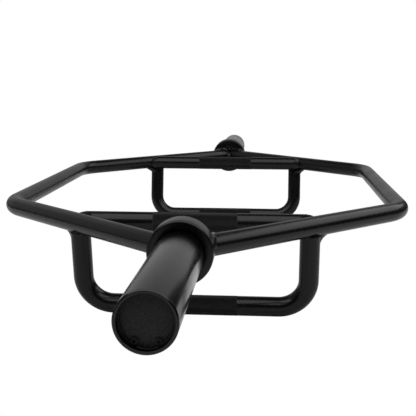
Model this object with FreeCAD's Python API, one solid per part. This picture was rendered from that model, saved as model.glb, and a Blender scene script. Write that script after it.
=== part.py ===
import FreeCAD, Part
import math
import os

# Hex trap bar: a welded round-bar frame with a rotating plate sleeve at each end.
# Millimetres, +Z up. The sleeves lie along Y, the lifter stands inside the hexagon,
# and the bar stands on the bottoms of its two low handles, at z = 0.

# Frame: two bent bars that meet in a V at each hub
frame_bar_d = 24.0
frame_half_width = 261.0
slant_angle = 45.0
corner_bend_r = 70.0

# Handles: a straight high grip and a hanging low handle at each end
handle_bar_d = 24.0
knurl_height = 0.3
knurl_length = 102.0
grip_y = 317.5
low_grip_drop = 102.5
low_handle_half_width = 136.5
leg_to_rail = 18.0
low_handle_bend_r = 36.0
saddle_depth = 5.0

# Weld beads
weld_size = 4.0
grip_weld_drop = 2.5

# Hub collar, the stop that plates rest against; its recess takes the sleeve's inner end
plate_stop_height = 9.0
hub_length = 27.0
hub_inset = 11.0
hub_chamfer = 1.5
hub_bore_chamfer = 1.0
hub_recess_depth = 3.0
hub_recess_gap = 0.5

# Stub axle, fixed in the hub collar
axle_end_recess = 8.0
axle_chamfer = 1.0
axle_tip = 3.0
axle_groove_depth = 1.2
axle_circlip_t = 1.5
axle_circlip_width = 4.0
axle_circlip_gap_angle = 70.0

# Plate sleeve
sleeve_od = 50.0
sleeve_wall = 5.0
sleeve_length = 224.0
sleeve_chamfer = 1.0

# Bushings and thrust washers
bushing_wall = 5.0
inner_bushing_length = 45.0
outer_bushing_length = 30.0
thrust_washer_t = 2.0
inner_washer_inset = 2.0
outer_washer_gap = 1.5

# End cap and the internal circlip that keeps it in the sleeve's mouth
cap_shoulder = 2.0
cap_t = 3.0
cap_chamfer = 0.4
cap_recess = 5.0
cap_tip_gap = 2.5
end_circlip_t = 1.75
end_circlip_width = 3.6
end_circlip_groove_depth = 1.5
lug_r = 2.9
lug_hole_r = 1.1
lug_half_angle = 30.0
lug_radial_offset = 5.2

# Clearances
press_clearance = 0.02
running_clearance = 0.05
groove_clearance = 0.10
end_float = 0.20

# Derived places, at the far end (+Y); the near end is its mirror image
frame_r = frame_bar_d / 2
handle_r = handle_bar_d / 2
knurl_r = handle_r + knurl_height
sleeve_r = sleeve_od / 2
sleeve_bore_r = sleeve_r - sleeve_wall
cap_bore_r = sleeve_bore_r + cap_shoulder
axle_r = sleeve_bore_r - bushing_wall
hub_r = sleeve_r + plate_stop_height
frame_z = low_grip_drop + knurl_r
slant = math.radians(slant_angle)
rail_at_grip_x = low_handle_half_width + leg_to_rail
apex_y = grip_y + rail_at_grip_x / math.tan(slant)
side_corner_y = apex_y - frame_half_width / math.tan(slant)
hub_back_y = apex_y - hub_inset
hub_front_y = hub_back_y + hub_length
recess_y = hub_front_y - hub_recess_depth
sleeve_in_y = recess_y + thrust_washer_t + end_float
sleeve_out_y = sleeve_in_y + sleeve_length
end_circlip_out_y = sleeve_out_y - cap_recess
cap_out_y = end_circlip_out_y - end_circlip_t - groove_clearance
cap_in_y = cap_out_y - cap_t
axle_tip_y = cap_in_y - cap_tip_gap
axle_circlip_out_y = axle_tip_y - axle_tip
axle_circlip_in_y = axle_circlip_out_y - axle_circlip_t
outer_bushing_out_y = axle_circlip_in_y - thrust_washer_t - end_float
leg_top_y = apex_y - low_handle_half_width / math.tan(slant)

AXIS_X = FreeCAD.Vector(1, 0, 0)
AXIS_Y = FreeCAD.Vector(0, 1, 0)
AXIS_Z = FreeCAD.Vector(0, 0, 1)
ORIGIN = FreeCAD.Vector(0, 0, 0)
HUB_CENTRE = FreeCAD.Vector(0, 0, frame_z)


def round_bar(start, end, radius):
    """A straight round bar between two points."""
    along = end - start
    return Part.makeCylinder(radius, along.Length, start, along)


def bent_bar(points, bend_r, radius):
    """A round bar along straight runs, with a tangent bend of one radius at each inner point."""
    edges = []
    run_start = points[0]
    for before, corner, after in zip(points, points[1:], points[2:]):
        back = (before - corner).normalize()
        ahead = (after - corner).normalize()
        half_angle = back.getAngle(ahead) / 2
        setback = bend_r / math.tan(half_angle)
        inward = (back + ahead).normalize()
        bend_start = corner + back * setback
        bend_end = corner + ahead * setback
        bend_middle = corner + inward * (bend_r / math.sin(half_angle) - bend_r)
        edges.append(Part.LineSegment(run_start, bend_start).toShape())
        edges.append(Part.Arc(bend_start, bend_middle, bend_end).toShape())
        run_start = bend_end
    edges.append(Part.LineSegment(run_start, points[-1]).toShape())
    circle = Part.makeCircle(radius, points[0], points[1] - points[0])
    return Part.Wire(edges).makePipeShell([Part.Wire(circle)], True, False)


def outline(points):
    """A flat face inside a closed run of straight edges."""
    return Part.Face(Part.makePolygon(points + points[:1]))


def turned(profile):
    """A piece turned about the sleeve axis from a closed outline of (radius, y) points."""
    points = [FreeCAD.Vector(radius, y, frame_z) for radius, y in profile]
    return outline(points).revolve(HUB_CENTRE, AXIS_Y, 360)


def ring(inner_r, outer_r, start_y, end_y):
    return turned([(inner_r, start_y), (outer_r, start_y), (outer_r, end_y), (inner_r, end_y)])


def block(low, high):
    """A plain box between two corners, used to keep one part of a solid."""
    size = high - low
    return Part.makeBox(size.x, size.y, size.z, low)


def near(shape):
    return shape.mirror(ORIGIN, AXIS_Y)


def left(shape):
    return shape.mirror(ORIGIN, AXIS_X)


def open_ring(inner_r, outer_r, start_y, end_y, half_gap_deg):
    """A flat spring ring with a gap at the bottom, centred below the sleeve axis."""
    reach = 2 * outer_r
    spread = reach * math.tan(math.radians(half_gap_deg))
    wedge = outline([
        FreeCAD.Vector(0, start_y, frame_z),
        FreeCAD.Vector(-spread, start_y, frame_z - reach),
        FreeCAD.Vector(spread, start_y, frame_z - reach),
    ])
    gap = wedge.extrude(AXIS_Y * (end_y - start_y))
    return ring(inner_r, outer_r, start_y, end_y).cut(gap)


def make_frame_bar():
    """Right frame bar: slant, side rail and slant in one bent bar, mitred on the centre plane."""
    overrun = 2 * frame_bar_d
    over_x = -overrun * math.sin(slant)
    over_y = apex_y + overrun * math.cos(slant)
    path = [
        FreeCAD.Vector(over_x, over_y, frame_z),
        FreeCAD.Vector(frame_half_width, side_corner_y, frame_z),
        FreeCAD.Vector(frame_half_width, -side_corner_y, frame_z),
        FreeCAD.Vector(over_x, -over_y, frame_z),
    ]
    keep = block(
        FreeCAD.Vector(0, -hub_back_y, frame_z - frame_bar_d),
        FreeCAD.Vector(frame_half_width + frame_bar_d, hub_back_y, frame_z + frame_bar_d),
    )
    return bent_bar(path, corner_bend_r, frame_r).common(keep)


def slant_bar(radius):
    """A straight stand-in for the far right slant, used to place welds against it."""
    apex = FreeCAD.Vector(0, apex_y, frame_z)
    corner = FreeCAD.Vector(frame_half_width, side_corner_y, frame_z)
    return round_bar(apex, corner, radius)


def cross_bar(half_length, z, radius):
    """A round bar across the frame at a grip's place along the sleeve axis."""
    start = FreeCAD.Vector(-half_length, grip_y, z)
    end = FreeCAD.Vector(half_length, grip_y, z)
    return round_bar(start, end, radius)


def knurl_band(z):
    """Knurled length of a grip: knurling raises the bar a little in the middle."""
    return cross_bar(knurl_length / 2, z, knurl_r)


def make_high_grip():
    """Straight grip whose ends are sawn flat, parallel to the slants that they butt against."""
    inner_side_x = rail_at_grip_x - frame_r / math.cos(slant)
    long_side_x = inner_side_x + handle_r * math.tan(slant)
    short_side_x = inner_side_x - handle_r * math.tan(slant)
    between_slants = outline([
        FreeCAD.Vector(long_side_x, grip_y - handle_r, frame_z - handle_r),
        FreeCAD.Vector(short_side_x, grip_y + handle_r, frame_z - handle_r),
        FreeCAD.Vector(-short_side_x, grip_y + handle_r, frame_z - handle_r),
        FreeCAD.Vector(-long_side_x, grip_y - handle_r, frame_z - handle_r),
    ])
    keep = between_slants.extrude(AXIS_Z * handle_bar_d)
    return cross_bar(long_side_x, frame_z, handle_r).common(keep).fuse(knurl_band(frame_z))


def leg_ends():
    """Ends of a low handle's right leg on its axis: the low corner and the rail's axis above it."""
    low = FreeCAD.Vector(low_handle_half_width, grip_y, knurl_r)
    top = FreeCAD.Vector(low_handle_half_width, leg_top_y, frame_z)
    return low, top


def under_saddle():
    """Everything up to the height that the low handle's legs reach beside the rail."""
    saddle_z = frame_z - frame_r + saddle_depth
    reach = frame_half_width + frame_bar_d
    return block(
        FreeCAD.Vector(-reach, 0, -handle_bar_d),
        FreeCAD.Vector(reach, apex_y, saddle_z),
    )


def make_low_handle(joined):
    """U handle leaning inward, so that its grip hangs under the high grip; its legs are coped to fit."""
    low, top = leg_ends()
    across = AXIS_X * (2 * low_handle_half_width)
    handle = bent_bar([top - across, low - across, low, top], low_handle_bend_r, handle_r)
    return handle.common(under_saddle()).cut(joined).fuse(knurl_band(knurl_r))


def make_low_handle_weld(joined):
    """Bead round the top of the right leg, where it meets the underside of the rail."""
    low, top = leg_ends()
    bead = round_bar(low, top, handle_r + weld_size).common(slant_bar(frame_r + weld_size))
    return bead.common(under_saddle()).cut(joined)


def make_grip_weld(joined):
    """Bead round the right end of a high grip, filling the wedge against the inner side of the rail."""
    half_height = frame_r - grip_weld_drop
    inside_rail = outline([
        FreeCAD.Vector(0, 0, frame_z - half_height),
        FreeCAD.Vector(frame_half_width, 0, frame_z - half_height),
        FreeCAD.Vector(frame_half_width, side_corner_y, frame_z - half_height),
        FreeCAD.Vector(0, apex_y, frame_z - half_height),
    ])
    keep = inside_rail.extrude(AXIS_Z * (2 * half_height))
    bead = cross_bar(rail_at_grip_x, frame_z, handle_r + weld_size).common(slant_bar(frame_r + weld_size))
    return bead.common(keep).cut(joined)


def make_hub_weld(rail):
    """Bead on the right of the V, where the frame bars meet the back of the hub collar."""
    collar = ring(axle_r, hub_r - hub_chamfer, hub_back_y - weld_size, hub_back_y)
    return slant_bar(frame_r + weld_size).common(collar).cut(rail)


def make_hub_collar():
    bore_r = axle_r + press_clearance
    back_mouth_r = bore_r + hub_bore_chamfer
    recess_r = sleeve_r + hub_recess_gap
    return turned([
        (back_mouth_r, hub_back_y),
        (hub_r - hub_chamfer, hub_back_y),
        (hub_r, hub_back_y + hub_chamfer),
        (hub_r, hub_front_y - hub_chamfer),
        (hub_r - hub_chamfer, hub_front_y),
        (recess_r, hub_front_y),
        (recess_r, recess_y),
        (bore_r, recess_y),
        (bore_r, hub_back_y + hub_bore_chamfer),
    ])


def make_stub_axle():
    groove_r = axle_r - axle_groove_depth
    axle_in_y = hub_back_y + axle_end_recess
    groove_in_y = axle_circlip_in_y - groove_clearance
    groove_out_y = axle_circlip_out_y
    return turned([
        (0, axle_in_y),
        (axle_r, axle_in_y),
        (axle_r, groove_in_y),
        (groove_r, groove_in_y),
        (groove_r, groove_out_y),
        (axle_r, groove_out_y),
        (axle_r, axle_tip_y - axle_chamfer),
        (axle_r - axle_chamfer, axle_tip_y),
        (0, axle_tip_y),
    ])


def make_axle_circlip():
    inner_r = axle_r - axle_groove_depth + press_clearance
    return open_ring(
        inner_r,
        inner_r + axle_circlip_width,
        axle_circlip_in_y,
        axle_circlip_out_y,
        axle_circlip_gap_angle / 2,
    )


def make_inner_washer():
    outer_r = sleeve_r - inner_washer_inset
    return ring(axle_r + running_clearance, outer_r, recess_y, recess_y + thrust_washer_t)


def make_outer_washer():
    outer_r = sleeve_bore_r - outer_washer_gap
    washer_in_y = axle_circlip_in_y - thrust_washer_t
    return ring(axle_r + running_clearance, outer_r, washer_in_y, axle_circlip_in_y)


def make_sleeve():
    groove_r = cap_bore_r + end_circlip_groove_depth
    return turned([
        (sleeve_bore_r, sleeve_in_y),
        (sleeve_r - sleeve_chamfer, sleeve_in_y),
        (sleeve_r, sleeve_in_y + sleeve_chamfer),
        (sleeve_r, sleeve_out_y - sleeve_chamfer),
        (sleeve_r - sleeve_chamfer, sleeve_out_y),
        (cap_bore_r, sleeve_out_y),
        (cap_bore_r, end_circlip_out_y),
        (groove_r, end_circlip_out_y),
        (groove_r, cap_out_y),
        (cap_bore_r, cap_out_y),
        (cap_bore_r, cap_in_y),
        (sleeve_bore_r, cap_in_y),
    ])


def make_bushing(start_y, length):
    return ring(axle_r + running_clearance, sleeve_bore_r - press_clearance, start_y, start_y + length)


def make_end_cap():
    cap_r = cap_bore_r - press_clearance
    return turned([
        (0, cap_in_y),
        (cap_r, cap_in_y),
        (cap_r, cap_out_y - cap_chamfer),
        (cap_r - cap_chamfer, cap_out_y),
        (0, cap_out_y),
    ])


def make_end_circlip():
    """Internal retaining ring, open at the bottom, with a plier hole in the lug at each end."""
    outer_r = cap_bore_r + end_circlip_groove_depth - press_clearance
    start_y = end_circlip_out_y - end_circlip_t
    circlip = open_ring(outer_r - end_circlip_width, outer_r, start_y, end_circlip_out_y, lug_half_angle)
    lug_reach = outer_r - lug_radial_offset
    for side in (-1, 1):
        angle = math.radians(side * lug_half_angle)
        back = FreeCAD.Vector(lug_reach * math.sin(angle), start_y, frame_z - lug_reach * math.cos(angle))
        front = back + AXIS_Y * end_circlip_t
        circlip = circlip.fuse(round_bar(back, front, lug_r)).cut(round_bar(back, front, lug_hole_r))
    return circlip.removeSplitter()


def both_sides(shape):
    return Part.makeCompound([shape, left(shape)])


# Each welded piece is fitted to those joined before it
right_bar = make_frame_bar()
left_bar = left(right_bar)
high_grip = make_high_grip()
low_handle = make_low_handle([right_bar, left_bar, high_grip])
grip_weld = make_grip_weld([right_bar, high_grip, low_handle])
handle_weld = make_low_handle_weld([right_bar, high_grip, low_handle, grip_weld])

far_end = {
    "high_grip": high_grip,
    "high_grip_welds": both_sides(grip_weld),
    "low_handle": low_handle,
    "low_handle_welds": both_sides(handle_weld),
    "hub_collar": make_hub_collar(),
    "hub_welds": both_sides(make_hub_weld(right_bar)),
    "stub_axle": make_stub_axle(),
    "axle_circlip": make_axle_circlip(),
    "inner_thrust_washer": make_inner_washer(),
    "outer_thrust_washer": make_outer_washer(),
    "plate_sleeve": make_sleeve(),
    "inner_bushing": make_bushing(sleeve_in_y, inner_bushing_length),
    "outer_bushing": make_bushing(outer_bushing_out_y - outer_bushing_length, outer_bushing_length),
    "end_cap": make_end_cap(),
    "end_circlip": make_end_circlip(),
}

nodes = {"left_frame_bar": left_bar, "right_frame_bar": right_bar}
for name, shape in far_end.items():
    nodes["far_" + name] = shape
    nodes["near_" + name] = near(shape)

os.makedirs("parts", exist_ok=True)
for name, shape in nodes.items():
    shape.exportStep("parts/" + name + ".step")
    print(f"{name}: {len(shape.Solids)} solids, {shape.Volume:.0f} mm3")
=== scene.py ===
import math

import bmesh
import bpy
from mathutils import Matrix, Vector, noise


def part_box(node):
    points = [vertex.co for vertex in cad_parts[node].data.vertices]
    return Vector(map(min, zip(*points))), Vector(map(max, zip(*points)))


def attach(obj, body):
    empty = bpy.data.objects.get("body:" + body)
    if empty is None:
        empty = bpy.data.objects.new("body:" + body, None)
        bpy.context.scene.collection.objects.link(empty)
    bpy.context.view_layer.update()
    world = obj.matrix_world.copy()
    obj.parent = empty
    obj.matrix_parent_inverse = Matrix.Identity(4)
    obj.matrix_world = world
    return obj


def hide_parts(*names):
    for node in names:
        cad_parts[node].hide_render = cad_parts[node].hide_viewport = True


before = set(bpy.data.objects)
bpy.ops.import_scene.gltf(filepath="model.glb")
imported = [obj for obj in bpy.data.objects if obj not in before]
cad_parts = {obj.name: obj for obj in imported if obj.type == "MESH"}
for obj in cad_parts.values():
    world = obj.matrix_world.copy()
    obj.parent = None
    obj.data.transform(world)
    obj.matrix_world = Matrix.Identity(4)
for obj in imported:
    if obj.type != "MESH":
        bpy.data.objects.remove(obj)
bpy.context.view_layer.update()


# Frame bars
# Two lengths of 24 mm round steel bar, each cold bent at two corners of the hexagon.
# They meet in a mitred V behind each hub, and the whole frame is blasted and powder coated in black.
mm = 0.001
ENDS = {"far": 1, "near": -1}
UP = Vector((0, 0, 1))
bar_low, bar_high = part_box("right_frame_bar")
bar_r = (bar_high.z - bar_low.z) / 2
frame_z = (bar_high.z + bar_low.z) / 2
frame_half_width = bar_high.x - bar_r
hub_back_y = bar_high.y
hub_inset = 11 * mm
apex_y = hub_back_y + hub_inset
corner_y = apex_y - frame_half_width
corner_bend_r = 70 * mm
corner_steps = 20
bar_sides = 64
# Most values of a noise pattern lie between these two.
noise_low, noise_high = 0.3, 0.7


def linear(hex_code):
    """An sRGB hex colour as linear red, green, blue and alpha."""
    shares = [int(hex_code[place:place + 2], 16) / 255 for place in (1, 3, 5)]
    return [c / 12.92 if c <= 0.04045 else ((c + 0.055) / 1.055) ** 2.4 for c in shares] + [1]


def add_node(owner, kind, inputs=None, **settings):
    """Adds a shader node to a material or a world, with each input a plain value or another node's output."""
    node = owner.node_tree.nodes.new(kind)
    for name, value in settings.items():
        setattr(node, name, value)
    for name, value in (inputs or {}).items():
        if isinstance(value, bpy.types.NodeSocket):
            owner.node_tree.links.new(value, node.inputs[name])
        else:
            node.inputs[name].default_value = value
    return node


def new_material(name):
    """A material with no nodes yet."""
    material = bpy.data.materials.new(name)
    material.use_nodes = True
    material.node_tree.nodes.clear()
    return material


def powder_coat(name, dark, pale, glossy, dull):
    """Baked powder paint: a skin that flowed out in the oven, so gloss breaks up in a fine orange peel.

    Matting powder in the paint takes about half of the gloss that a clear coat would have."""
    peel_size = 1.6 * mm
    peel_depth = 0.012 * mm
    grain_size = 0.4 * mm
    grain_share = 0.3
    patch_size = 45 * mm
    material = new_material(name)
    place = add_node(material, "ShaderNodeTexCoord").outputs["Object"]
    peel = add_node(material, "ShaderNodeTexNoise", {"Vector": place, "Scale": 1 / peel_size, "Detail": 1.0})
    grain = add_node(
        material, "ShaderNodeTexNoise",
        {"Vector": place, "Scale": 1 / grain_size, "Detail": 2.0},
    )
    patch = add_node(
        material, "ShaderNodeTexNoise",
        {"Vector": place, "Scale": 1 / patch_size, "Detail": 4.0},
    )
    height = add_node(
        material, "ShaderNodeMix",
        {"Factor": grain_share, "A": peel.outputs["Fac"], "B": grain.outputs["Fac"]},
    )
    bump = add_node(
        material, "ShaderNodeBump",
        {"Height": height.outputs["Result"], "Distance": peel_depth, "Strength": 1.0},
    )
    tone = add_node(
        material, "ShaderNodeMix",
        {"Factor": patch.outputs["Fac"], "A": linear(dark), "B": linear(pale)},
        data_type="RGBA",
    )
    gloss = add_node(
        material, "ShaderNodeMapRange",
        {
            "Value": patch.outputs["Fac"],
            "From Min": noise_low,
            "From Max": noise_high,
            "To Min": glossy,
            "To Max": dull,
        },
    )
    shader = add_node(
        material, "ShaderNodeBsdfPrincipled",
        {
            "Base Color": tone.outputs["Result"],
            "Roughness": gloss.outputs["Result"],
            "Normal": bump.outputs["Normal"],
            "IOR": 1.5,
            "Specular IOR Level": 0.26,
        },
    )
    add_node(material, "ShaderNodeOutputMaterial", {"Surface": shader.outputs["BSDF"]})
    return material


def bent_path(corners, bend_r, steps):
    """Places and directions along straight runs that tangent bends of one radius join."""
    ahead = (corners[1] - corners[0]).normalized()
    path = [(corners[0], ahead)]
    for corner, after in zip(corners[1:], corners[2:]):
        leaving = (after - corner).normalized()
        turn = ahead.angle(leaving)
        axis = ahead.cross(leaving).normalized()
        start = corner - ahead * (bend_r * math.tan(turn / 2))
        centre = start + axis.cross(ahead) * bend_r
        for step in range(steps + 1):
            swing = Matrix.Rotation(turn * step / steps, 3, axis)
            path.append((centre + swing @ (start - centre), swing @ ahead))
        ahead = leaving
    path.append((corners[-1], ahead))
    return path


def add_ring(bm, centre, ahead, side, radius, count):
    """A ring of vertices round a point of a path; side is a direction square to the path."""
    other = ahead.cross(side)
    angles = [2 * math.pi * column / count for column in range(count)]
    return [bm.verts.new(centre + (side * math.cos(a) + other * math.sin(a)) * radius) for a in angles]


def join_rings(bm, first, second):
    """Quads between two rings with as many vertices each."""
    for column in range(len(first)):
        after = (column + 1) % len(first)
        bm.faces.new((first[column], first[after], second[after], second[column]))


def swept(bm, path, side, radius, count):
    """A round bar along a path that lies in one plane, with flat ends."""
    rings = [add_ring(bm, place, ahead, side, radius, count) for place, ahead in path]
    for first, second in zip(rings, rings[1:]):
        join_rings(bm, first, second)
    bm.faces.new(rings[0])
    bm.faces.new(rings[-1])


def cut_off(bm, place, beyond):
    """Cuts away what lies beyond a plane and closes the cut with a flat face."""
    everything = bm.verts[:] + bm.edges[:] + bm.faces[:]
    bmesh.ops.bisect_plane(bm, geom=everything, plane_co=place, plane_no=beyond, clear_outer=True)
    bmesh.ops.holes_fill(bm, edges=[edge for edge in bm.edges if edge.is_boundary])


def add_piece(name, bm, materials, body, slot, *nodes):
    """Makes a finished mesh a named piece that rides on a body and stands for nodes of the frame."""
    sharp_from = math.radians(32)
    bmesh.ops.recalc_face_normals(bm, faces=bm.faces)
    mesh = bpy.data.meshes.new(name)
    bm.to_mesh(mesh)
    bm.free()
    mesh.polygons.foreach_set("use_smooth", [True] * len(mesh.polygons))
    mesh.set_sharp_from_angle(angle=sharp_from)
    for material in materials:
        mesh.materials.append(material)
    piece = bpy.data.objects.new(name, mesh)
    bpy.context.scene.collection.objects.link(piece)
    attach(piece, body)
    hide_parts(*nodes)


# Satin black powder coat: nearly no light of its own, and soft broad reflections with clear edges.
satin_black_coat = powder_coat("satin_black_powder_coat", "#050506", "#090909", 0.22, 0.30)
for hand, side in {"right": 1, "left": -1}.items():
    overrun = 2 * bar_r
    corners = [
        Vector((-side * overrun, apex_y + overrun, frame_z)),
        Vector((side * frame_half_width, corner_y, frame_z)),
        Vector((side * frame_half_width, -corner_y, frame_z)),
        Vector((-side * overrun, -apex_y - overrun, frame_z)),
    ]
    bm = bmesh.new()
    swept(bm, bent_path(corners, corner_bend_r, corner_steps), UP, bar_r, bar_sides)
    cut_off(bm, (0, 0, 0), (-side, 0, 0))
    for end in ENDS.values():
        cut_off(bm, (0, end * hub_back_y, 0), (0, end, 0))
    add_piece(f"{hand}_bent_bar", bm, [satin_black_coat], "frame", "frame_coat", f"{hand}_frame_bar")


# High grips
# A straight 24 mm bar between the slants at each end of the frame. Its ends are sawn square, and weld metal
# fills the wedges to the slants. The middle is rolled in a knurling tool, which throws up small pyramids.
RIGHT = Vector((1, 0, 0))
KNURLED = 1
grip_low, grip_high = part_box("far_high_grip")
grip_y = (grip_low.y + grip_high.y) / 2
grip_half_length = 133 * mm
knurl_crest_r = (grip_high.z - grip_low.z) / 2
knurl_height = 0.3 * mm
knurl_depth = 0.6 * mm
handle_r = knurl_crest_r - knurl_height
knurl_half_length = 51 * mm
diamonds_round = 46
diamond_length = 2.4 * mm
knurl_rows = 2 * round(2 * knurl_half_length / diamond_length)
handle_sides = 2 * diamonds_round


def knurled_run(bm, middle, side):
    """The knurled middle of a bar that runs along X: pyramids that share a lattice of valleys.

    Returns the plain rings at its two ends."""
    rings = []
    for row in range(knurl_rows + 1):
        axis_place = middle + RIGHT * ((2 * row / knurl_rows - 1) * knurl_half_length)
        ring = add_ring(bm, axis_place, RIGHT, side, handle_r, handle_sides)
        if 0 < row < knurl_rows:
            for column, vertex in enumerate(ring):
                crest = (row + column) % 2 == 0
                radius = knurl_crest_r if crest else knurl_crest_r - knurl_depth
                vertex.co = axis_place + (vertex.co - axis_place) * (radius / handle_r)
        rings.append(ring)
    for row, (first, second) in enumerate(zip(rings, rings[1:])):
        for column in range(handle_sides):
            after = (column + 1) % handle_sides
            a, b, c, d = first[column], second[column], second[after], first[after]
            crest_first = (row + column) % 2 == 0
            for corners in ((a, b, d), (c, d, b)) if crest_first else ((a, b, c), (a, c, d)):
                bm.faces.new(corners).material_index = KNURLED
    return rings[0], rings[-1]


# The coat lies dull on the knurling, whose flanks throw the light every way, so it looks an even dark grey.
knurled_black_coat = powder_coat("black_powder_coat_on_knurling", "#0a0a0b", "#121213", 0.42, 0.55)
handle_coats = [satin_black_coat, knurled_black_coat]
for name, end in ENDS.items():
    middle = Vector((0, end * grip_y, frame_z))
    bm = bmesh.new()
    first_ring, last_ring = knurled_run(bm, middle, UP)
    for side, knurl_ring in ((-1, first_ring), (1, last_ring)):
        sawn = middle + RIGHT * (side * grip_half_length)
        sawn_ring = add_ring(bm, sawn, RIGHT, UP, handle_r, handle_sides)
        join_rings(bm, knurl_ring, sawn_ring)
        bm.faces.new(sawn_ring)
    add_piece(f"{name}_knurled_grip", bm, handle_coats, "frame", "grip_coat", f"{name}_high_grip")


# Low handles
# A 24 mm bar bent to a U, knurled along its bottom like the grip above it.
# Its legs lean outward as they rise, and the slants rest on their tops, which welds close all round.
leg_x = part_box("far_low_handle")[1].x - handle_r
leg_top_y = apex_y - leg_x
leg_top_bite = 0.4 * mm
leg_top_z = frame_z - bar_r + leg_top_bite
low_grip_z = knurl_crest_r
low_handle_bend_r = 36 * mm
low_handle_steps = 24

for name, end in ENDS.items():
    grip_middle = Vector((0, end * grip_y, low_grip_z))
    corner = Vector((leg_x, end * grip_y, low_grip_z))
    top = Vector((leg_x, end * leg_top_y, frame_z))
    leg_up = (top - corner).normalized()
    flat_side = leg_up.cross(RIGHT).normalized()
    bm = bmesh.new()
    first_ring, last_ring = knurled_run(bm, grip_middle, flat_side)
    for side, knurl_ring in ((-1, first_ring), (1, last_ring)):
        start = grip_middle + RIGHT * (side * knurl_half_length)
        turn = grip_middle + RIGHT * (side * leg_x)
        leg_end = turn + leg_up * (top - corner).length
        before = knurl_ring
        for place, ahead in bent_path([start, turn, leg_end], low_handle_bend_r, low_handle_steps)[1:]:
            ring = add_ring(bm, place, ahead * side, flat_side, handle_r, handle_sides)
            join_rings(bm, before, ring)
            before = ring
        for vertex in before:
            vertex.co += leg_up * ((leg_top_z - vertex.co.z) / leg_up.z)
        bm.faces.new(before)
    add_piece(f"{name}_knurled_handle", bm, handle_coats, "frame", "grip_coat", f"{name}_low_handle")


# Weld beads
# Each joint is closed by hand with a bead of weld metal, laid in short overlapping ripples and coated with
# the frame: round both ends of each grip, round the top of each leg, behind each hub and down its V.
bead_step = 0.5 * mm
bead_faces = 6
ripple_pitch = 2.4 * mm
ripple_height = 0.3 * mm
wander_share = 0.25
wander_length = 6 * mm
taper_length = 5 * mm
taper_end_size = 0.3
toe_sink = 0.15 * mm
grip_bead_length = 92 * mm
leg_bead_length = 82 * mm
hub_bead_length = 60 * mm
mitre_bead_length = 22 * mm


def weld_bead(bm, section, length, bulge, closed):
    """A bead along a joint; section(share, size) gives its root inside both pieces and its toe on each.

    A bead that doesn't close on itself tapers off at both ends."""
    steps = round(length / bead_step)
    ripples = round(length / ripple_pitch)
    taper_steps = taper_length / bead_step
    rings = []
    for step in range(steps if closed else steps + 1):
        share = step / steps
        size = 1 + wander_share * noise.noise(section(share, 1)[0] / wander_length)
        if not closed:
            from_end = min(step, steps - step) / taper_steps
            size *= min(1, taper_end_size + (1 - taper_end_size) * from_end)
        root, low, high = section(share, size)
        outward = (low.lerp(high, 0.5) - root).normalized()
        ring = [root]
        for face in range(bead_faces + 1):
            across = face / bead_faces
            crown = 4 * across * (1 - across)
            ripple = (share * ripples - crown / 2) % 1
            swell = bulge * (high - low).length + ripple_height * (1 - ripple) * size
            ring.append(low.lerp(high, across) + outward * (crown * swell - toe_sink))
        rings.append([bm.verts.new(place) for place in ring])
    for first, second in zip(rings, rings[1:]):
        join_rings(bm, first, second)
    if closed:
        join_rings(bm, rings[-1], rings[0])
    else:
        bm.faces.new(rings[0])
        bm.faces.new(rings[-1])


def slant_ways(side, end):
    """The way along a slant from its hub outward, and the level way square to it, out of the hexagon."""
    return Vector((side, -end, 0)).normalized(), Vector((side, end, 0)).normalized()


def grip_end_bead(side, end):
    """Round a grip's sawn end, from the grip's skin to the inner side of the slant.

    Towards the hub the grip runs into the slant, and on its other side the bead fills an open wedge."""
    leg, toe = 4.5 * mm, 1.5 * mm
    hub_side, open_side = 21 * mm, 10 * mm
    climb_share = 0.82
    root_depth, root_share = 1 * mm, 0.5
    grip_axis_x = grip_high.x - handle_r
    slant, outward = slant_ways(side, end)
    meets = Vector((side * grip_axis_x, end * grip_y, frame_z))

    def section(share, size):
        run, rise = math.cos(2 * math.pi * share), math.sin(2 * math.pi * share)
        round_grip = Vector((0, -end * run, rise)) * handle_r
        start_x = min(grip_half_length - toe * size, grip_axis_x + handle_r * run - leg * size)
        low = Vector((side * start_x, meets.y, frame_z)) + round_grip
        turn = math.asin(climb_share * rise)
        on_axis = meets + outward * bar_r + slant * ((open_side if run > 0 else hub_side) * run * size)
        high = on_axis + (UP * math.sin(turn) - outward * math.cos(turn)) * bar_r
        root = Vector((side * (start_x - root_depth), meets.y, frame_z)) + round_grip * root_share
        return root, low, high

    return section


def leg_top_bead(side, end):
    """Round the top of a leg, from the leg's skin to the slant's underside.

    It is widest on the outer side, and hangs lower on the outside of the hexagon."""
    inner, middle, outer = 1.8 * mm, 4.5 * mm, 15 * mm
    drop_share, outside_drop = 0.55, 3.5 * mm
    side_turn = math.radians(36)
    root_depth, root_drop = 5 * mm, 2 * mm
    slant, outward = slant_ways(side, end)
    apex = Vector((0, end * apex_y, frame_z))
    foot = Vector((side * leg_x, end * grip_y, low_grip_z))
    top = Vector((side * leg_x, end * leg_top_y, frame_z))
    leg_up = (top - foot).normalized()

    def section(share, size):
        run, cross = math.cos(2 * math.pi * share), math.sin(2 * math.pi * share)
        from_leg = slant * run + outward * cross
        from_leg = (from_leg - leg_up * from_leg.dot(leg_up)).normalized()
        edge = top + from_leg * handle_r
        edge += leg_up * ((leg_top_z - edge.z) / leg_up.z)
        flare = math.sqrt(max(run, 0))
        reach = (middle + (outer - middle) * flare - (middle - inner) * max(-run, 0)) * size
        low = edge - leg_up * (drop_share * reach + outside_drop * max(cross, 0) * size)
        on_axis = apex + slant * ((edge - apex).dot(slant) + reach * (flare if run > 0 else run))
        turn = side_turn * cross
        high = on_axis + (outward * math.sin(turn) - UP * math.cos(turn)) * bar_r
        root = edge - from_leg * root_depth - UP * root_drop
        return root, low, high

    return section


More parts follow.
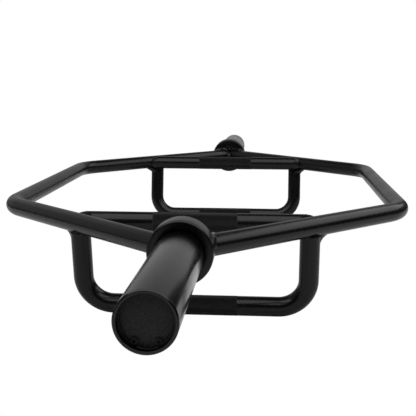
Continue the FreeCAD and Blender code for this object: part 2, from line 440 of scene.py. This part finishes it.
def hub_bead(side, end):
    """Where a slant meets the back of the hub collar, from above the bore round the outside to below it.

    It is heaped up on top of the slant, where the welder can reach best."""
    beside_on_bar, above_on_bar = 10 * mm, 19 * mm
    beside_on_hub, above_on_hub = 2 * mm, 6 * mm
    half_turn = math.radians(125)
    root_depth, root_ahead = 3 * mm, 2 * mm
    slant = slant_ways(side, end)[0]
    apex = Vector((0, end * apex_y, frame_z))

    def section(share, size):
        angle = half_turn * (2 * share - 1)
        climb = max(math.sin(angle), 0) ** 2
        leg_on_bar = beside_on_bar + (above_on_bar - beside_on_bar) * climb
        leg_on_hub = beside_on_hub + (above_on_hub - beside_on_hub) * climb
        across = side * (hub_inset + bar_r * math.sqrt(2) * math.cos(angle))
        meets = Vector((across, end * hub_back_y, frame_z + bar_r * math.sin(angle)))
        from_bar = meets - apex
        from_bar = (from_bar - slant * from_bar.dot(slant)).normalized()
        on_face = Vector((from_bar.x, 0, from_bar.z)).normalized()
        low = meets + slant * (leg_on_bar * size)
        high = meets + on_face * (leg_on_hub * size)
        root = meets - from_bar * root_depth + Vector((0, end * root_ahead, 0))
        return root, low, high

    return section


def mitre_bead(end):
    """Down the inside of the V, where the two frame bars meet on the centre plane."""
    leg = 4.5 * mm
    half_turn = math.radians(44)
    root_ahead = 4 * mm

    def section(share, size):
        angle = half_turn * (2 * share - 1)
        y = end * (apex_y - bar_r * math.sqrt(2) * math.cos(angle))
        meets = Vector((0, y, frame_z + bar_r * math.sin(angle)))
        low, high = (meets + slant_ways(side, end)[0] * (leg * size) for side in (1, -1))
        return meets + Vector((0, end * root_ahead, 0)), low, high

    return section


for name, end in ENDS.items():
    grip_beads, leg_beads, hub_beads = bmesh.new(), bmesh.new(), bmesh.new()
    for side in (1, -1):
        weld_bead(grip_beads, grip_end_bead(side, end), grip_bead_length, bulge=0.05, closed=True)
        weld_bead(leg_beads, leg_top_bead(side, end), leg_bead_length, bulge=-0.06, closed=True)
        weld_bead(hub_beads, hub_bead(side, end), hub_bead_length, bulge=0.16, closed=False)
    weld_bead(hub_beads, mitre_bead(end), mitre_bead_length, bulge=0.1, closed=False)
    for joint, beads in (("high_grip", grip_beads), ("low_handle", leg_beads), ("hub", hub_beads)):
        joined = f"{name}_{joint}"
        add_piece(f"{joined}_beads", beads, [satin_black_coat], "frame", "frame_coat", f"{joined}_welds")


# Hub collars
# A turned steel collar on the point of each V. Plates stop against its front face, the sleeve's inner end
# runs in its front recess, and the stub axle is fixed in its bore. Its back edge has a shallow chamfer,
# and it is coated with the frame.
hub_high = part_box("far_hub_collar")[1]
hub_r = hub_high.z - frame_z
hub_front_y = hub_high.y
hub_chamfer = 1.5 * mm
hub_back_chamfer, hub_back_chamfer_width = 1.2 * mm, 2.4 * mm
hub_bore_chamfer = 1 * mm
hub_recess_gap, hub_recess_depth = 0.5 * mm, 3 * mm
hub_edge_r = 0.5 * mm
axle_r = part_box("far_stub_axle")[1].x
sleeve_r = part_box("far_plate_sleeve")[1].x
hub_recess_r = sleeve_r + hub_recess_gap
hub_recess_y = hub_front_y - hub_recess_depth
turned_sides = 128


def eased(profile, edge_r):
    """A closed outline of (radius, y) points with each corner rounded off a little, as on a deburred part.

    No rounding takes more than a third of an edge."""
    ease_steps = 3
    edge_parts = 3
    points = []
    for before, corner, after in zip(profile[-1:] + profile[:-1], profile, profile[1:] + profile[:1]):
        corner = Vector(corner)
        if corner.x == 0:
            points.append(corner)
            continue
        back, ahead = Vector(before) - corner, Vector(after) - corner
        start = corner + back.normalized() * min(edge_r, back.length / edge_parts)
        finish = corner + ahead.normalized() * min(edge_r, ahead.length / edge_parts)
        for step in range(ease_steps + 1):
            share = step / ease_steps
            points.append(start.lerp(corner, share).lerp(corner.lerp(finish, share), share))
    return points


def turned(bm, profile, end):
    """A piece turned about the sleeve axis from a closed outline of (radius, y) points at the far end."""
    centre = Vector((0, 0, frame_z))
    along = Vector((0, end, 0))
    rings = []
    for radius, y in profile:
        if radius > 0:
            rings.append(add_ring(bm, centre + along * y, along, UP, radius, turned_sides))
        else:
            rings.append([bm.verts.new(centre + along * y)])
    for first, second in zip(rings, rings[1:] + rings[:1]):
        if len(first) == len(second) == turned_sides:
            join_rings(bm, first, second)
        elif len(first) != len(second):
            rim, middle = (first, second[0]) if len(second) == 1 else (second, first[0])
            for column in range(turned_sides):
                bm.faces.new((rim[column], rim[(column + 1) % turned_sides], middle))


hub_outline = [
    (axle_r + hub_bore_chamfer, hub_back_y),
    (hub_r - hub_back_chamfer_width, hub_back_y),
    (hub_r, hub_back_y + hub_back_chamfer),
    (hub_r, hub_front_y - hub_chamfer),
    (hub_r - hub_chamfer, hub_front_y),
    (hub_recess_r, hub_front_y),
    (hub_recess_r, hub_recess_y),
    (axle_r, hub_recess_y),
    (axle_r, hub_back_y + hub_bore_chamfer),
]
for name, end in ENDS.items():
    bm = bmesh.new()
    turned(bm, eased(hub_outline, hub_edge_r), end)
    add_piece(f"{name}_turned_collar", bm, [satin_black_coat], "frame", "frame_coat", f"{name}_hub_collar")


# Stub axles
# A ground steel axle fixed in each collar carries the sleeve; its sawn end shows inside the collar's bore.
# Grinding leaves fine rings round it, which stretch its highlights along the axle.
def dress(node, material):
    """Gives a node of the frame a finished material in place of its plain one."""
    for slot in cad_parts[node].material_slots:
        slot.material = material


def worked_metal(name, dark, pale, smooth, rough, ring_size, ring_depth, patch_size, anisotropy):
    """Bare or plated metal with the fine rings of a lathe or grinder and patches of thicker finish.

    The rings are a noise pattern drawn out round the sleeve axis."""
    ring_stretch = 50
    material = new_material(name)
    place = add_node(material, "ShaderNodeTexCoord").outputs["Object"]
    ring_place = add_node(
        material, "ShaderNodeMapping",
        {"Vector": place, "Scale": (1 / ring_stretch, 1, 1 / ring_stretch)},
    )
    rings = add_node(
        material, "ShaderNodeTexNoise",
        {"Vector": ring_place.outputs["Vector"], "Scale": 1 / ring_size, "Detail": 3.0},
    )
    patch = add_node(
        material, "ShaderNodeTexNoise",
        {"Vector": place, "Scale": 1 / patch_size, "Detail": 5.0},
    )
    bump = add_node(
        material, "ShaderNodeBump",
        {"Height": rings.outputs["Fac"], "Distance": ring_depth, "Strength": 1.0},
    )
    tone = add_node(
        material, "ShaderNodeMix",
        {"Factor": patch.outputs["Fac"], "A": linear(dark), "B": linear(pale)},
        data_type="RGBA",
    )
    gloss = add_node(
        material, "ShaderNodeMapRange",
        {
            "Value": patch.outputs["Fac"],
            "From Min": noise_low,
            "From Max": noise_high,
            "To Min": smooth,
            "To Max": rough,
        },
    )
    shader = add_node(
        material, "ShaderNodeBsdfPrincipled",
        {
            "Base Color": tone.outputs["Result"],
            "Metallic": 1.0,
            "Roughness": gloss.outputs["Result"],
            "Anisotropic": anisotropy,
            "Normal": bump.outputs["Normal"],
        },
    )
    add_node(material, "ShaderNodeOutputMaterial", {"Surface": shader.outputs["BSDF"]})
    return material


# Ground steel: bright and grey, with a fine grain across the axle.
ground_steel = worked_metal(
    "ground_steel", "#8c8d8f", "#a5a6a8", 0.25, 0.36,
    ring_size=0.3 * mm, ring_depth=0.003 * mm, patch_size=12 * mm, anisotropy=0.4,
)
for name in ENDS:
    dress(f"{name}_stub_axle", ground_steel)


# Axle circlips, thrust washers and bushings
# Inside the sleeve, a spring steel clip keeps a bronze washer on the axle, and two bronze bushings run on it.
# The washers and bushings are pressed from bronze powder and soaked in oil; the clip is stamped.
# Phosphated spring steel: a matt charcoal grey. Sintered bronze: dull brown gold with dark pores.
phosphated_steel = worked_metal(
    "phosphated_spring_steel", "#202123", "#2c2d2f", 0.42, 0.55,
    ring_size=0.5 * mm, ring_depth=0.002 * mm, patch_size=3 * mm, anisotropy=0.0,
)
sintered_bronze = worked_metal(
    "sintered_bronze", "#7d5c33", "#a07a47", 0.38, 0.52,
    ring_size=0.4 * mm, ring_depth=0.004 * mm, patch_size=2 * mm, anisotropy=0.2,
)
for name in ENDS:
    dress(f"{name}_axle_circlip", phosphated_steel)
    for bearing in ("inner_thrust_washer", "outer_thrust_washer", "inner_bushing", "outer_bushing"):
        dress(f"{name}_{bearing}", sintered_bronze)


# Plate sleeves
# A thick steel tube turns freely on each stub axle and carries the plates. It is turned on a lathe, then
# plated in black, so it keeps more of a metal sheen than the painted frame.
sleeve_low, sleeve_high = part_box("far_plate_sleeve")
sleeve_in_y, sleeve_out_y = sleeve_low.y, sleeve_high.y
cap_low, cap_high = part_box("far_end_cap")
cap_in_y, cap_out_y = cap_low.y, cap_high.y
circlip_out_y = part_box("far_end_circlip")[1].y
sleeve_wall = 5 * mm
cap_shoulder = 2 * mm
groove_depth = 1.5 * mm
sleeve_chamfer = 1 * mm
sleeve_edge_r = 0.3 * mm
sleeve_bore_r = sleeve_r - sleeve_wall
cap_bore_r = sleeve_bore_r + cap_shoulder
groove_r = cap_bore_r + groove_depth
sleeve_outline = [
    (sleeve_bore_r, sleeve_in_y),
    (sleeve_r - sleeve_chamfer, sleeve_in_y),
    (sleeve_r, sleeve_in_y + sleeve_chamfer),
    (sleeve_r, sleeve_out_y - sleeve_chamfer),
    (sleeve_r - sleeve_chamfer, sleeve_out_y),
    (cap_bore_r, sleeve_out_y),
    (cap_bore_r, circlip_out_y),
    (groove_r, circlip_out_y),
    (groove_r, cap_out_y),
    (cap_bore_r, cap_out_y),
    (cap_bore_r, cap_in_y),
    (sleeve_bore_r, cap_in_y),
]
# Black zinc on turned steel: a dark metal whose fine turned rings spread the light along the sleeve.
black_zinc = worked_metal(
    "black_zinc_plated_steel", "#2b2b2d", "#353537", 0.15, 0.20,
    ring_size=0.6 * mm, ring_depth=0.002 * mm, patch_size=30 * mm, anisotropy=0.0,
)
for name, end in ENDS.items():
    bm = bmesh.new()
    turned(bm, eased(sleeve_outline, sleeve_edge_r), end)
    body = f"{name}_sleeve"
    add_piece(f"{name}_turned_sleeve", bm, [black_zinc], body, "sleeve_finish", f"{name}_plate_sleeve")


# End caps
# A pressed steel disc closes each sleeve's mouth, a little way in from the rim.
# Its face is sprayed with a black paint that dries to a fine grain.
cap_r = cap_high.x
cap_chamfer = 0.4 * mm
cap_edge_r = 0.15 * mm


def grained_paint(name, dark, pale, glossy, dull):
    """Black paint with a grain, each grain with its own tone and gloss.

    The real grain is about a third of a millimetre, which would not show, so it is drawn coarser."""
    grain_size = 1.0 * mm
    grain_depth = 0.15 * mm
    material = new_material(name)
    place = add_node(material, "ShaderNodeTexCoord").outputs["Object"]
    grain = add_node(material, "ShaderNodeTexVoronoi", {"Vector": place, "Scale": 1 / grain_size})
    chance = add_node(material, "ShaderNodeSeparateColor", {"Color": grain.outputs["Color"]})
    bump = add_node(
        material, "ShaderNodeBump",
        {"Height": grain.outputs["Distance"], "Distance": grain_depth, "Strength": 1.0},
    )
    tone = add_node(
        material, "ShaderNodeMix",
        {"Factor": chance.outputs["Red"], "A": linear(dark), "B": linear(pale)},
        data_type="RGBA",
    )
    gloss = add_node(
        material, "ShaderNodeMapRange",
        {"Value": chance.outputs["Green"], "To Min": glossy, "To Max": dull},
    )
    shader = add_node(
        material, "ShaderNodeBsdfPrincipled",
        {
            "Base Color": tone.outputs["Result"],
            "Roughness": gloss.outputs["Result"],
            "Normal": bump.outputs["Normal"],
            "IOR": 1.5,
            "Specular IOR Level": 0.3,
        },
    )
    add_node(material, "ShaderNodeOutputMaterial", {"Surface": shader.outputs["BSDF"]})
    return material


# Fine-grained black paint: a soft dark grey face with faint specks.
grained_black = grained_paint("fine_grained_black_paint", "#070708", "#1c1c1d", 0.4, 0.6)
cap_outline = [
    (0, cap_in_y),
    (cap_r, cap_in_y),
    (cap_r, cap_out_y - cap_chamfer),
    (cap_r - cap_chamfer, cap_out_y),
    (0, cap_out_y),
]
for name, end in ENDS.items():
    bm = bmesh.new()
    turned(bm, eased(cap_outline, cap_edge_r), end)
    add_piece(f"{name}_cap_disc", bm, [grained_black], f"{name}_sleeve", "cap_finish", f"{name}_end_cap")


# End circlips
# A spring steel ring snaps into the groove in front of each cap and keeps it in the sleeve's mouth.
# It is stamped, with a plier hole in the lug at each end, and phosphated like the clip on the axle.
for name in ENDS:
    dress(f"{name}_end_circlip", phosphated_steel)


# Studio floor
# A plain pale table that the bar stands on. The camera sees it lit to a clean white without shadows, as in
# the photograph. It ends a little beyond the bar, so the coat mirrors it close by and darkness further off.
floor_half_x, floor_half_y = 1.1, 1.5
floor_corners = [
    (-floor_half_x, -floor_half_y, 0),
    (floor_half_x, -floor_half_y, 0),
    (floor_half_x, floor_half_y, 0),
    (-floor_half_x, floor_half_y, 0),
]
floor_mesh = bpy.data.meshes.new("studio_floor")
floor_mesh.from_pydata(floor_corners, [], [(0, 1, 2, 3)])
floor = bpy.data.objects.new("studio_floor", floor_mesh)
bpy.context.scene.collection.objects.link(floor)
lit_white = new_material("lit_white_table")
ray = add_node(lit_white, "ShaderNodeLightPath")
matt = add_node(lit_white, "ShaderNodeBsdfDiffuse", {"Color": linear("#d8d8d8")})
lit = add_node(lit_white, "ShaderNodeEmission", {"Color": linear("#ffffff"), "Strength": 1.0})
table = add_node(
    lit_white, "ShaderNodeMixShader",
    {0: ray.outputs["Is Camera Ray"], 1: matt.outputs["BSDF"], 2: lit.outputs["Emission"]},
)
add_node(lit_white, "ShaderNodeOutputMaterial", {"Surface": table.outputs["Shader"]})
floor_mesh.materials.append(lit_white)


# Studio light
# A wide softbox above the bar on the camera's side, another to the right, and dim cards to the left and
# beyond the bar. The room is dark but for these, and what the camera sees of it is white, like the floor.
def softbox(name, azimuth, elevation, distance, width, height, brightness):
    """A soft rectangular light that looks at the bar; brightness is what a mirror would show of it."""
    lamp = bpy.data.lights.new(name, "AREA")
    lamp.shape = "RECTANGLE"
    lamp.size, lamp.size_y = width, height
    lamp.energy = brightness * math.pi * width * height
    around = Matrix.Rotation(-math.radians(azimuth), 4, "Z")
    upward = Matrix.Rotation(math.radians(90 + elevation), 4, "X")
    away = Matrix.Translation((0, 0, -distance))
    facing_back = Matrix.Rotation(math.pi, 4, "X")
    lamp_object = bpy.data.objects.new(name, lamp)
    lamp_object.matrix_world = around @ upward @ away @ facing_back
    lamp_object.visible_camera = False
    bpy.context.scene.collection.objects.link(lamp_object)


softbox(
    "overhead_softbox", azimuth=180, elevation=64, distance=2.0,
    width=3.4, height=2.3, brightness=2.2,
)
softbox(
    "right_softbox", azimuth=70, elevation=38, distance=2.6,
    width=2.6, height=1.5, brightness=1.9,
)
softbox(
    "left_card", azimuth=-80, elevation=28, distance=2.6,
    width=3.0, height=2.4, brightness=0.35,
)
softbox(
    "back_card", azimuth=-11, elevation=20, distance=3.0,
    width=3.9, height=2.4, brightness=0.35,
)

world = bpy.data.worlds.new("studio_room")
world.use_nodes = True
world.node_tree.nodes.clear()
ray = add_node(world, "ShaderNodeLightPath")
dark_room = add_node(world, "ShaderNodeBackground", {"Color": linear("#ffffff"), "Strength": 0.04})
white_room = add_node(world, "ShaderNodeBackground", {"Color": linear("#ffffff"), "Strength": 1.0})
room = add_node(
    world, "ShaderNodeMixShader",
    {
        0: ray.outputs["Is Camera Ray"],
        1: dark_room.outputs["Background"],
        2: white_room.outputs["Background"],
    },
)
add_node(world, "ShaderNodeOutputWorld", {"Surface": room.outputs["Shader"]})
bpy.context.scene.world = world


# Camera
# It stands a little right of the near sleeve's end and looks down the bar, as in the photograph.
camera_place = Vector((88.63, -1268.92, 295.15)) * mm
camera_pan = Matrix.Rotation(math.radians(4.42), 4, "Z")
camera_tilt = Matrix.Rotation(math.radians(80.335), 4, "X")
camera_roll = Matrix.Rotation(math.radians(0.09), 4, "Z")
camera = bpy.data.cameras.new("camera")
camera.sensor_width = 36
camera.lens = 69.97
camera_object = bpy.data.objects.new("camera", camera)
camera_object.matrix_world = Matrix.Translation(camera_place) @ camera_pan @ camera_tilt @ camera_roll
bpy.context.scene.collection.objects.link(camera_object)
bpy.context.scene.camera = camera_object
bpy.context.scene.view_settings.view_transform = "Standard"
